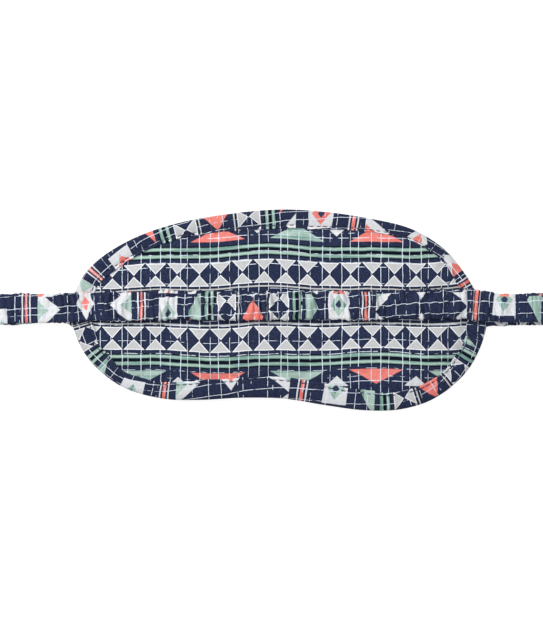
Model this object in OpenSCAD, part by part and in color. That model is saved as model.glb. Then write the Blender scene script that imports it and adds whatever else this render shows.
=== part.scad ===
// Padded cloth sleep mask with a bound edge and an elastic strap in a
// gathered casing. It lies on its front face with the wearer's side up.
// X runs along the strap, Y to the forehead edge, Z up. Millimetres.

/* [Mask] */
// Width of the mask from tip to tip
mask_w = 200; // [194:1:206]
// Height of the mask from the forehead edge to the lower lobe
mask_h = 97; // [92:1:102]
// Thickness of the padded middle, cloth to cloth
crown_h = 6.6; // [6:0.1:7]
// Thickness of one layer of printed cloth
cloth_t = 0.35; // [0.3:0.05:0.35]
// Thickness of the light-blocking lining
lining_t = 0.25; // [0.2:0.05:0.3]

/* [Edge binding] */
// Width of the binding seen on each face
binding_w = 9; // [8:0.5:10]
// Thickness of the folded binding cloth
binding_t = 0.45; // [0.4:0.05:0.45]
// Distance of the topstitching from the inner edge of the binding
stitch_in = 1.4; // [1:0.1:2]
// Thickness of the sewing thread
thread_t = 0.25; // [0.2:0.05:0.25]

/* [Strap] */
// Flat width of the strap
strap_w = 13.6; // [12:0.2:14.4]
// Thickness of the casing with the elastic inside it
strap_t = 2; // [1.8:0.1:2]
// Thickness of the cloth of the casing
casing_t = 0.4; // [0.3:0.05:0.4]
// Width of the elastic
elastic_w = 10.5; // [8:0.5:10.5]
// Thickness of the elastic
elastic_t = 0.9; // [0.6:0.1:0.9]
// Distance from the middle to the outside of each fold of the strap
fold_reach = 133; // [128:1:145]

/* [Hidden] */

navy = [0.16, 0.17, 0.30];
mint = [0.58, 0.75, 0.66];
coral = [0.90, 0.42, 0.36];
pale = [0.80, 0.80, 0.80];
black = [0.06, 0.06, 0.07];

// ---- outline -------------------------------------------------------------

// The middle of the mask sits a little to the right of the strap's middle
mask_x = 3;

// Points on the edge, anticlockwise from the right tip, for a mask of
// 200 by 97 about its own middle. The dip for the nose is at the bottom.
edge_key = [
  [100, -4], [96, 6], [89, 18], [79, 29.5], [63, 39], [42, 44], [21, 47],
  [1, 48], [-19, 46.5], [-39, 43.5], [-57, 39], [-73, 32.5], [-87, 23.5],
  [-95, 14], [-100, 0], [-96, -16], [-87.5, -28], [-73.5, -38],
  [-55, -43], [-37, -43.5], [-17, -42.5], [3, -43], [22, -46],
  [41, -48.5], [59, -48], [75.5, -42.5], [89.5, -31], [97.5, -17]];

function spline(a, b, c, d, t) =
  0.5 * (2 * b + (c - a) * t + (2 * a - 5 * b + 4 * c - d) * t * t
         + (3 * b - a - 3 * c + d) * t * t * t);

key_n = len(edge_key);
key_seg = 3;
function key(i) = let (p = edge_key[(i + key_n) % key_n])
  [mask_x + p[0] * mask_w / 200, p[1] * mask_h / 97];
edge_raw = [for (i = [0 : key_n - 1]) for (j = [0 : key_seg - 1])
  spline(key(i - 1), key(i), key(i + 1), key(i + 2), j / key_seg)];
raw_y = [for (p = edge_raw) p[1]];
mid_y = (max(raw_y) + min(raw_y)) / 2;
edge = [for (p = edge_raw) [p[0], p[1] - mid_y]];
edge_n = len(edge);

edge_x = [for (p = edge) p[0]];
tip_l = min(edge_x);
tip_r = max(edge_x);

// Unit vector into the mask at an edge point
function inward(i) =
  let (a = edge[(i + edge_n - 1) % edge_n], b = edge[(i + 1) % edge_n],
       t = (b - a) / norm(b - a)) [-t[1], t[0]];
// The edge moved into the mask by d
function inset(d) = [for (i = [0 : edge_n - 1]) edge[i] + d * inward(i)];

// ---- heights -------------------------------------------------------------

air = 0.1;                                // gap between neighbouring layers
bind_z0 = thread_t + 0.05;                // lower leg of the binding
front_z = bind_z0 + binding_t + air;      // front cloth at the rim
seam_gap = strap_t + 0.4;                 // room for the strap end in the rim
back_z = front_z + cloth_t + seam_gap;    // back cloth at the rim
bind_z1 = back_z + cloth_t + air + binding_t;   // top of the binding
seam_z = front_z + cloth_t + seam_gap / 2;      // middle of the strap end

// Rings of a layer: its own edge, the inner edge of the binding, then
// smaller and smaller rings towards the middle
ring_a = [4, 9, 15, 22];
in_w = mask_w / 2 - binding_w - 0.3;
in_h = mask_h / 2 - binding_w - 0.3;
rim_in = inset(binding_w + 0.3);
function shrunk(a) = [for (p = rim_in)
  [mask_x + (p[0] - mask_x) * (1 - a / in_w), p[1] * (1 - a / in_h)]];
inner_rings = concat([rim_in], [for (a = ring_a) shrunk(a)]);

// How far each ring has risen from the rim to the plateau
back_rise = [0, 0, 0.5, 0.82, 0.96, 1];
front_drop = [1, 1, 0.25, 0, 0, 0];

front_lo = [for (f = front_drop) front_z * f];
lining_lo = [for (z = front_lo) z + cloth_t + air];
padding_lo = [for (z = lining_lo) z + lining_t + air];
back_lo = [for (f = back_rise)
  back_z + f * (crown_h - cloth_t - back_z)];
padding_hi = [for (z = back_lo) z - air];

// ---- strap ---------------------------------------------------------------

// Where the strap ends lie across the tips
seam_y_l = 0.5;
seam_y_r = -1;
seam_in = 8.5;                            // length sewn into the rim
fold_r = 2.35;                            // radius of a fold at mid-thickness
fold_x = fold_reach - strap_t / 2 - fold_r;
leg_z = strap_t / 2 + 0.15;               // the legs lie on the table
top_z = leg_z + 2 * fold_r;               // the run where it leaves a fold
rim_top = bind_z1 + thread_t + 0.02 + strap_t / 2 + 0.3;
run_top = crown_h + strap_t / 2 + 0.5;

// Route of the strap from the end in the left tip to the end in the right
// tip: out along the table, over the fold and across the wearer's side
function leg(tip, s, y) = [
  [tip - s * seam_in, y, seam_z], [tip - s * 4, y, seam_z],
  [tip + s * 0.5, y, seam_z], [tip + s * 2, y, seam_z - 0.1],
  [tip + s * 5, y, seam_z - 0.5], [tip + s * 9, y, leg_z + 0.35],
  [tip + s * 13, y * 0.9 + 0.1, leg_z + 0.05]];
function fold(s, y0, y1) = [for (i = [0 : 8])
  let (t = i * 22.5)
  [s * (fold_x + fold_r * sin(t)), y0 + (y1 - y0) * i / 8,
   leg_z + fold_r * (1 - cos(t))]];
function over(tip, s, y) = [
  [tip + s * 8, y[0], max(top_z, rim_top) - 0.05],
  [tip + s * 3, y[1], rim_top], [tip - s * 4, y[2], rim_top + 0.05],
  [tip - s * 8, y[3], rim_top + 0.35], [tip - s * 13, y[4], rim_top + 1.1],
  [tip - s * 20, y[5], run_top - 0.25], [tip - s * 29, y[6], run_top],
  [tip - s * 45, y[7], run_top], [tip - s * 62, y[8], run_top],
  [tip - s * 80, y[9], run_top]];
// How far up the mask the run lies, from each fold to the middle
run_y_l = [0.7, 0.9, 1.2, 1.5, 1.7, 1.9, 2, 2.1, 2.1, 2.1];
run_y_r = [1.4, 1.8, 2.2, 2.5, 2.7, 2.8, 2.8, 2.6, 2.3, 2.1];
function flipped(l) = [for (i = [len(l) - 1 : -1 : 0]) l[i]];
route = concat(
  leg(tip_l, -1, seam_y_l), fold(-1, 0.6, 0.6), over(tip_l, -1, run_y_l),
  [[mask_x, 2.1, run_top]],
  flipped(over(tip_r, 1, run_y_r)), flipped(fold(1, -0.6, 1)),
  flipped(leg(tip_r, 1, seam_y_r)));
route_n = len(route);

// Direction across the strap's thickness, in the X-Z plane
function across(i) =
  let (a = route[max(i - 1, 0)], b = route[min(i + 1, route_n - 1)],
       t = [b[0] - a[0], b[2] - a[2]] / norm([b[0] - a[0], b[2] - a[2]]))
  [-t[1], 0, t[0]];

// Flat section with eased edges: eight points of width w and thickness t
function section(w, t) = [
  [w / 2, -t / 6], [w / 2, t / 6], [w / 2 - t / 2, t / 2],
  [-w / 2 + t / 2, t / 2], [-w / 2, t / 6], [-w / 2, -t / 6],
  [-w / 2 + t / 2, -t / 2], [w / 2 - t / 2, -t / 2]];
function swept(w, t, first, last) =
  [for (i = [first : last]) let (n = across(i))
    for (q = section(w, t)) route[i] + [0, q[0], 0] + n * q[1]];

// ---- building blocks -----------------------------------------------------

// A layer between two heights on a set of nested rings
module layer(rings, lo, hi) {
  k = len(rings);
  n = len(rings[0]);
  m = k * n;
  pts = concat(
    [for (r = [0 : k - 1]) for (p = rings[r]) [p[0], p[1], lo[r]]],
    [for (r = [0 : k - 1]) for (p = rings[r]) [p[0], p[1], hi[r]]]);
  faces = concat(
    [for (r = [0 : k - 2]) for (i = [0 : n - 1])
      let (j = (i + 1) % n, o = r * n, q = (r + 1) * n)
      each [[o + i, o + j, q + j], [o + i, q + j, q + i],
            [m + o + i, m + q + j, m + o + j],
            [m + o + i, m + q + i, m + q + j]]],
    [for (i = [0 : n - 1]) let (j = (i + 1) % n)
      each [[i, m + i, m + j], [i, m + j, j]]],
    [[for (i = [0 : n - 1]) (k - 1) * n + i]],
    [[for (i = [n - 1 : -1 : 0]) m + (k - 1) * n + i]]);
  polyhedron(pts, faces, convexity = 6);
}

// Edge of a hidden layer, drawn back where a strap end lies in the rim
function hidden_edge(d) = [for (i = [0 : edge_n - 1])
  let (p = edge[i],
       at_l = p[0] < mask_x && abs(p[1] - seam_y_l) < strap_w / 2 + 6,
       at_r = p[0] > mask_x && abs(p[1] - seam_y_r) < strap_w / 2 + 6)
  p + (at_l || at_r ? binding_w + 0.1 : d) * inward(i)];

// A band of the outline between two insets
module band(d0, d1) {
  difference() {
    polygon(inset(d0));
    polygon(inset(d1));
  }
}

// A solid swept along the strap's route
module strap_solid(w, t, first, last) {
  n = 8;
  k = last - first + 1;
  pts = swept(w, t, first, last);
  faces = concat(
    [for (r = [0 : k - 2]) for (i = [0 : n - 1])
      let (j = (i + 1) % n, o = r * n, q = (r + 1) * n)
      each [[o + i, q + j, o + j], [o + i, q + i, q + j]]],
    [[for (i = [0 : n - 1]) i]],
    [[for (i = [n - 1 : -1 : 0]) (k - 1) * n + i]]);
  polyhedron(pts, faces, convexity = 8);
}

// A hollow flat tube swept along the strap's route
module strap_tube(w, t, wall) {
  n = 8;
  k = route_n;
  m = n * k;
  pts = concat(swept(w, t, 0, k - 1),
               swept(w - 2 * wall, t - 2 * wall, 0, k - 1));
  e = (k - 1) * n;
  faces = concat(
    [for (r = [0 : k - 2]) for (i = [0 : n - 1])
      let (j = (i + 1) % n, o = r * n, q = (r + 1) * n)
      each [[o + i, q + j, o + j], [o + i, q + i, q + j],
            [m + o + i, m + o + j, m + q + j],
            [m + o + i, m + q + j, m + q + i]]],
    [for (i = [0 : n - 1]) let (j = (i + 1) % n)
      each [[i, j, m + j], [i, m + j, m + i],
            [e + i, m + e + j, e + j], [e + i, m + e + i, m + e + j]]]);
  polyhedron(pts, faces, convexity = 10);
}

// A zigzag of close stitches across a strap end
module zigzag(x, y) {
  steps = 12;
  pitch = (strap_w - 2) / steps;
  left = [for (i = [0 : steps])
    [x - 0.9 + (i % 2) * 1.4, y + (i - steps / 2) * pitch]];
  right = [for (i = [steps : -1 : 0])
    [x - 0.5 + (i % 2) * 1.4, y + (i - steps / 2) * pitch]];
  translate([0, 0, bind_z1 + 0.02]) linear_extrude(thread_t)
    polygon(concat(left, right));
  translate([0, 0, bind_z0 - 0.02 - thread_t]) linear_extrude(thread_t)
    polygon(concat(left, right));
}

// ---- sub-parts -----------------------------------------------------------

// Printed cloth of the outer face, flat where it rests
module front_panel() color(navy)
  layer(concat([inset(binding_t + 0.35)], inner_rings), front_lo,
        [for (z = front_lo) z + cloth_t]);

// Dark cloth that stops the light
module blackout_lining() color(black)
  layer(concat([hidden_edge(1.4)], inner_rings), lining_lo,
        [for (z = lining_lo) z + lining_t]);

// Soft wadding
module padding() color(pale)
  layer(concat([hidden_edge(1.4)], inner_rings), padding_lo, padding_hi);

// Printed cloth on the wearer's side
module back_panel() color(navy)
  layer(concat([inset(binding_t + 0.35)], inner_rings), back_lo,
        [for (z = back_lo) z + cloth_t]);

// Strip of the same cloth folded over the edge, slit where the strap
// ends pass through it
module edge_binding() color(mint) difference() {
  translate([0, 0, bind_z0]) linear_extrude(bind_z1 - bind_z0)
    band(0, binding_w);
  translate([0, 0, bind_z0 + binding_t])
    linear_extrude(bind_z1 - bind_z0 - 2 * binding_t)
    band(binding_t, binding_w + 2);
  for (e = [[tip_l, seam_y_l], [tip_r, seam_y_r]])
    translate([e[0] - 8, e[1] - strap_w / 2 - 0.4,
               front_z + cloth_t])
      cube([16, strap_w + 0.8, seam_gap]);
}

// Row of stitches along the binding on the wearer's side
module topstitch_back() color(pale)
  translate([0, 0, bind_z1 + 0.02]) linear_extrude(thread_t)
    band(binding_w - stitch_in - 0.2, binding_w - stitch_in + 0.2);

// The same row on the outer face
module topstitch_front() color(pale)
  translate([0, 0, bind_z0 - 0.02 - thread_t]) linear_extrude(thread_t)
    band(binding_w - stitch_in - 0.2, binding_w - stitch_in + 0.2);

// Close stitches that hold the strap ends in the tips
module strap_tack_left() color(navy) zigzag(tip_l + 4.2, seam_y_l);
module strap_tack_right() color(navy) zigzag(tip_r - 4.2, seam_y_r);

// Tube of printed cloth, gathered on the elastic
module strap_casing() color(coral)
  strap_tube(strap_w, strap_t, casing_t);

// Flat elastic inside the casing
module elastic_band() color(pale)
  strap_solid(elastic_w, elastic_t, 0, route_n - 1);

front_panel();
blackout_lining();
padding();
back_panel();
edge_binding();
topstitch_back();
topstitch_front();
strap_tack_left();
strap_tack_right();
strap_casing();
elastic_band();
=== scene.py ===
import bpy
import math
import numpy as np
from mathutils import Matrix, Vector


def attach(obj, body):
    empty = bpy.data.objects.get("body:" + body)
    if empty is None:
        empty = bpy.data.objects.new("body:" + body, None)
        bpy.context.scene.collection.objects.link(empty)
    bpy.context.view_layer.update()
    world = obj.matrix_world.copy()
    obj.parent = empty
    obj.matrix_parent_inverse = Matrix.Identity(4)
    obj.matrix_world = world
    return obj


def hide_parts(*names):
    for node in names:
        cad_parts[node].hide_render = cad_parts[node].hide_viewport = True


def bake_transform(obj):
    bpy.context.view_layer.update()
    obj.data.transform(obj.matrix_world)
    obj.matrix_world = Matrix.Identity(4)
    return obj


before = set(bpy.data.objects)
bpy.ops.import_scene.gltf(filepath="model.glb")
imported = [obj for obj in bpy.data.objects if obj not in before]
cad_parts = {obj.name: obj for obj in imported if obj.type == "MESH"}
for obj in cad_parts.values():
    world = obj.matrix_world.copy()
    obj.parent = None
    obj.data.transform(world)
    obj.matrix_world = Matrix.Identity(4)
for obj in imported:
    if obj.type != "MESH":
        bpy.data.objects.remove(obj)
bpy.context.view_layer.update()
scene = bpy.context.scene

# All shapes below are worked out in millimetres and turned into metres when a
# mesh is made. X runs along the strap, Y to the forehead edge, Z up.
MM = 0.001
TAU = 2 * math.pi


# ---------------------------------------------------------------- camera ----
# Straight down from far away, 0.48 mm of the mask's plane to each pixel.
SCALE = 0.48
HIGH = 1.6
cam_data = bpy.data.cameras.new("camera")
cam = bpy.data.objects.new("camera", cam_data)
scene.collection.objects.link(cam)
cam.location = (-0.36 * MM, 0.05 * MM, HIGH + 4 * MM)
cam.rotation_euler = (0, 0, 0)
cam_data.sensor_width = 36
cam_data.lens = 36 / 2 / (620 * SCALE * MM / 2 / HIGH)
cam_data.clip_start = 0.05
cam_data.clip_end = 20
scene.camera = cam


# ----------------------------------------------------------------- noise ----
def waves(seed, wavelength, n=7, spread=0.5):
    """Smooth noise along a line, about unit size."""
    r = np.random.RandomState(seed)
    lam = wavelength * (1 + spread * (r.rand(n) * 2 - 1))
    ph = r.rand(n) * TAU
    am = 0.5 + 0.5 * r.rand(n)
    am = am / math.sqrt((am ** 2).sum() / 2)

    def f(x):
        x = np.asarray(x, float)
        return sum(a * np.sin(TAU * x / l + p) for a, l, p in zip(am, lam, ph))
    return f


def loop_waves(seed, wavelength, length, n=7, spread=0.5):
    """The same round a closed line of that length."""
    r = np.random.RandomState(seed)
    lam = wavelength * (1 + spread * (r.rand(n) * 2 - 1))
    k = np.maximum(1, np.round(length / lam))
    ph = r.rand(n) * TAU
    am = 0.5 + 0.5 * r.rand(n)
    am = am / math.sqrt((am ** 2).sum() / 2)

    def f(u):
        u = np.asarray(u, float)
        return sum(a * np.sin(TAU * u * q / length + p)
                   for a, q, p in zip(am, k, ph))
    return f


def ripples(seed, wavelength, n=12, spread=0.5):
    """Smooth noise over the plane, about unit size."""
    r = np.random.RandomState(seed)
    lam = wavelength * (1 + spread * (r.rand(n) * 2 - 1))
    ang = r.rand(n) * TAU
    ph = r.rand(n) * TAU
    am = 0.5 + 0.5 * r.rand(n)
    am = am / math.sqrt((am ** 2).sum() / 2)

    def f(x, y):
        return sum(a * np.sin(TAU * (x * math.cos(t) + y * math.sin(t)) / l + p)
                   for a, l, t, p in zip(am, lam, ang, ph))
    return f


def ease(lo, hi, x):
    t = np.clip((np.asarray(x, float) - lo) / (hi - lo), 0, 1)
    return t * t * (3 - 2 * t)


# --------------------------------------------------------------- outline ----
MASK_X = 3.0
EDGE_KEY = np.array([
    [100, -4], [96, 6], [89, 18], [79, 29.5], [63, 39], [42, 44], [21, 47],
    [1, 48], [-19, 46.5], [-39, 43.5], [-57, 39], [-73, 32.5], [-87, 23.5],
    [-95, 14], [-100, 0], [-96, -16], [-87.5, -28], [-73.5, -38],
    [-55, -43], [-37, -43.5], [-17, -42.5], [3, -43], [22, -46],
    [41, -48.5], [59, -48], [75.5, -42.5], [89.5, -31], [97.5, -17]], float)


def closed_spline(key, per):
    a, b, c, d = (np.roll(key, s, axis=0) for s in (1, 0, -1, -2))
    t = (np.arange(per) / per)[None, :, None]
    a, b, c, d = (q[:, None, :] for q in (a, b, c, d))
    p = 0.5 * (2 * b + (c - a) * t + (2 * a - 5 * b + 4 * c - d) * t ** 2
               + (3 * b - a - 3 * c + d) * t ** 3)
    return p.reshape(-1, 2)


def resample_closed(p, n):
    q = np.vstack([p, p[:1]])
    s = np.concatenate([[0], np.cumsum(np.linalg.norm(np.diff(q, axis=0), axis=1))])
    u = np.linspace(0, s[-1], n, endpoint=False)
    return np.stack([np.interp(u, s, q[:, k]) for k in (0, 1)], 1), s[-1]


def smooth_closed(p, step, sigma):
    """Gaussian smoothing round a closed line whose points are step apart."""
    n = len(p)
    k = np.fft.fftfreq(n, d=step)
    g = np.exp(-2 * (math.pi * k * sigma) ** 2)
    return np.real(np.fft.ifft(np.fft.fft(p, axis=0) * g[:, None], axis=0))


coarse = closed_spline(EDGE_KEY, 3)
mid_y = (coarse[:, 1].max() + coarse[:, 1].min()) / 2
dense = closed_spline(EDGE_KEY, 80) + [MASK_X, -mid_y]
dense = np.roll(dense, -int(dense[:, 0].argmin()), axis=0)   # starts at the left tip
NU = 720
EDGE, ROUND = resample_closed(dense, NU)
STEP = ROUND / NU
EDGE = smooth_closed(EDGE, STEP, 0.8)
U = np.arange(NU) * STEP
tangent = np.roll(EDGE, -1, axis=0) - np.roll(EDGE, 1, axis=0)
tangent /= np.linalg.norm(tangent, axis=1)[:, None]
INWARD = np.stack([-tangent[:, 1], tangent[:, 0]], 1)
TIP_L, TIP_R = EDGE[:, 0].min(), EDGE[:, 0].max()
BIND_W = 9.0
# The binding is sewn on unevenly. Its width in 40 even steps round the edge,
# from the middle of the top by the right tip:
SEWN = np.array([9.2, 9.1, 8.5, 7.4, 6.2, 5.5, 4.9, 4.7, 4.9, 5.8,
                 9.0, 8.9, 8.4, 8.4, 7.9, 8.3, 8.6, 9.4, 10.0, 10.3,
                 10.3, 10.2, 9.8, 9.4, 8.9, 8.1, 7.0, 6.7, 8.0, 9.0,
                 9.0, 9.0, 8.0, 8.8, 8.6, 7.6, 7.0, 7.8, 8.0, 8.8])
top_u = U[np.argmin(np.abs(EDGE[:, 0]) + 1e3 * (EDGE[:, 1] < 0))]
WIDTH = np.interp(np.mod(top_u - U, ROUND) / ROUND * 40, np.arange(41), np.append(SEWN, SEWN[0]))
WIDTH = smooth_closed(WIDTH[:, None], STEP, 4.0)
deep = smooth_closed(EDGE + WIDTH * INWARD, STEP, 3.5)


def inset(d):
    """The edge moved in by d, as it would be under a binding of even width:
    what lies further in moves with the seam. Eased, so that it keeps no kink
    at the tips."""
    d = np.asarray(d, float).reshape(-1, 1)
    f = np.clip(d / BIND_W, 0, 1.3) ** 2
    wander = (WIDTH - BIND_W) * np.clip((d - 1.5) / (BIND_W - 1.5), 0, 1)
    return EDGE + (d + wander) * INWARD + f * (deep - EDGE - WIDTH * INWARD)


# Where the strap lies on the mask it presses the cloth down.
def pressed(x, y):
    return np.exp(-(np.abs(y - 2.0) / 8.8) ** 6)


# ---------------------------------------------------------------- meshes ----
def new_object(name, verts, faces, uvs=None):
    """verts in mm; uvs maps a layer's name to one pair for each loop."""
    me = bpy.data.meshes.new(name)
    me.from_pydata([tuple(v) for v in (np.asarray(verts) * MM).tolist()], [],
                   [tuple(f) for f in faces])
    for layer, values in (uvs or {}).items():
        lay = me.uv_layers.new(name=layer)
        lay.data.foreach_set("uv", np.asarray(values, np.float32).ravel())
    me.polygons.foreach_set("use_smooth", np.ones(len(me.polygons), bool))
    me.update()
    ob = bpy.data.objects.new(name, me)
    scene.collection.objects.link(ob)
    return ob


def grid_faces(rows, cols, wrap_rows, wrap_cols):
    """Quads of a grid, with the row and column of each corner, not wrapped."""
    r = np.arange(rows if wrap_rows else rows - 1)
    c = np.arange(cols if wrap_cols else cols - 1)
    rr, cc = np.meshgrid(r, c, indexing="ij")
    rr, cc = rr.ravel(), cc.ravel()
    corner_r = np.stack([rr, rr, rr + 1, rr + 1], 1)
    corner_c = np.stack([cc, cc + 1, cc + 1, cc], 1)
    return corner_r, corner_c


def signed_volume(verts, faces):
    v = np.asarray(verts, float)
    quads = np.array([f for f in faces if len(f) == 4]).reshape(-1, 4)
    total = 0.0
    for i, j, k in ((0, 1, 2), (0, 2, 3)):
        total += np.sum(v[quads[:, i]] * np.cross(v[quads[:, j]], v[quads[:, k]]))
    return total / 6


class Builder:
    """Collects grids and caps into one closed mesh with its UV layers."""

    def __init__(self, layers):
        self.verts, self.faces, self.count = [], [], 0
        self.uvs = {k: [] for k in layers}

    def grid(self, p, uv, wrap_rows=False, wrap_cols=False, flip=False):
        """p is (rows, cols, 3). uv maps a layer's name to an array of pairs,
        with one more row or column where the grid closes on itself."""
        rows, cols = p.shape[:2]
        cr, cc = grid_faces(rows, cols, wrap_rows, wrap_cols)
        if flip:
            cr, cc = cr[:, ::-1], cc[:, ::-1]
        index = (cr % rows) * cols + cc % cols + self.count
        self.verts.append(p.reshape(-1, 3))
        self.faces.extend(index.tolist())
        for k in self.uvs:
            self.uvs[k].append(uv[k][cr, cc].reshape(-1, 2))
        start = self.count
        self.count += rows * cols
        return start

    def cap(self, index, uv):
        """One many-sided face on points that are there already."""
        self.faces.append([int(i) for i in index])
        for k in self.uvs:
            self.uvs[k].append(np.asarray(uv[k], float).reshape(-1, 2))

    def strip(self, a, b, uva, uvb):
        """Quads between two rings of points that are there already."""
        n = len(a)
        for i in range(n):
            j = (i + 1) % n
            self.faces.append([int(a[i]), int(a[j]), int(b[j]), int(b[i])])
            for k in self.uvs:
                self.uvs[k].append(np.array([uva[k][i], uva[k][j], uvb[k][j], uvb[k][i]]))

    def build(self, name, outward=True):
        verts = np.vstack(self.verts)
        faces = self.faces
        uvs = {k: np.vstack(v) for k, v in self.uvs.items()}
        if outward and signed_volume(verts, faces) < 0:
            pos = np.concatenate([[0], np.cumsum([len(f) for f in faces])])
            order = np.concatenate([np.arange(pos[i + 1] - 1, pos[i] - 1, -1)
                                    for i in range(len(faces))])
            faces = [f[::-1] for f in faces]
            uvs = {k: v[order] for k, v in uvs.items()}
        return new_object(name, verts, faces, uvs)


# ------------------------------------------------------------ node helper ----
class S:
    """A number in a node tree that can be added, compared and so on."""

    def __init__(self, tree, socket):
        self.tree, self.socket = tree, socket

    def op(self, kind, *others):
        n = self.tree.nodes.new("ShaderNodeMath")
        n.operation = kind
        for i, o in enumerate((self, *others)):
            if isinstance(o, S):
                self.tree.links.new(o.socket, n.inputs[i])
            else:
                n.inputs[i].default_value = float(o)
        return S(self.tree, n.outputs[0])

    def __add__(self, o): return self.op("ADD", o)
    def __sub__(self, o): return self.op("SUBTRACT", o)
    def __mul__(self, o): return self.op("MULTIPLY", o)
    def __truediv__(self, o): return self.op("DIVIDE", o)
    def abs(self): return self.op("ABSOLUTE")
    def fract(self): return self.op("FRACT")
    def floor(self): return self.op("FLOOR")
    def sin(self): return self.op("SINE")
    def max(self, o): return self.op("MAXIMUM", o)
    def min(self, o): return self.op("MINIMUM", o)
    def mod(self, o): return self.op("FLOORED_MODULO", o)
    def inv(self): return (self * -1) + 1

    def step(self, lo, hi):
        """0 below lo, 1 above hi, smooth between."""
        n = self.tree.nodes.new("ShaderNodeMapRange")
        n.interpolation_type = "SMOOTHSTEP"
        n.inputs["From Min"].default_value = lo
        n.inputs["From Max"].default_value = hi
        n.inputs["To Min"].default_value = 0
        n.inputs["To Max"].default_value = 1
        self.tree.links.new(self.socket, n.inputs["Value"])
        return S(self.tree, n.outputs["Result"])

    def above(self, edge, soft=0.07): return self.step(edge - soft, edge + soft)
    def below(self, edge, soft=0.07): return self.above(edge, soft).inv()
    def between(self, lo, hi, soft=0.07): return self.above(lo, soft) * self.below(hi, soft)


def srgb(r, g, b):
    def lin(c):
        c = c / 255
        return c / 12.92 if c <= 0.04045 else ((c + 0.055) / 1.055) ** 2.4
    return (lin(r), lin(g), lin(b), 1.0)


def mixed(tree, fac, a, b):
    """Colour a where fac is 0 and b where it is 1."""
    n = tree.nodes.new("ShaderNodeMix")
    n.data_type = "RGBA"
    n.clamp_factor = True
    tree.links.new(fac.socket, n.inputs["Factor"])
    for name, c in (("A", a), ("B", b)):
        sock = [s for s in n.inputs if s.name == name and s.type == "RGBA"][0]
        if isinstance(c, tuple):
            sock.default_value = c
        else:
            tree.links.new(c, sock)
    return [s for s in n.outputs if s.type == "RGBA"][0]


def noise(tree, vector, scale, detail=2.0, rough=0.5, dims="3D"):
    n = tree.nodes.new("ShaderNodeTexNoise")
    n.noise_dimensions = dims
    n.inputs["Scale"].default_value = scale
    n.inputs["Detail"].default_value = detail
    n.inputs["Roughness"].default_value = rough
    tree.links.new(vector, n.inputs["Vector"])
    return S(tree, n.outputs[0])


def combined(tree, x, y, z=0.0):
    n = tree.nodes.new("ShaderNodeCombineXYZ")
    for i, c in enumerate((x, y, z)):
        if isinstance(c, S):
            tree.links.new(c.socket, n.inputs[i])
        else:
            n.inputs[i].default_value = c
    return n.outputs[0]


# ----------------------------------------------------------------- cloth ----
# A geometric print on a navy ground. U and V are millimetres on the cloth,
# and the design repeats every 200 mm of V, the same both ways from V = 0.
NAVY = srgb(51, 59, 90)
NAVY_DEEP = srgb(20, 26, 46)
INK = srgb(13, 17, 31)
MINT = srgb(170, 193, 183)
MINT_DEEP = srgb(110, 148, 138)
CORAL = srgb(233, 134, 124)
CORAL_DEEP = srgb(221, 114, 105)
GREY = srgb(217, 218, 221)
PALE = srgb(193, 194, 196)
WHITE = srgb(240, 242, 245)
LINE = srgb(224, 235, 250)


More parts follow.
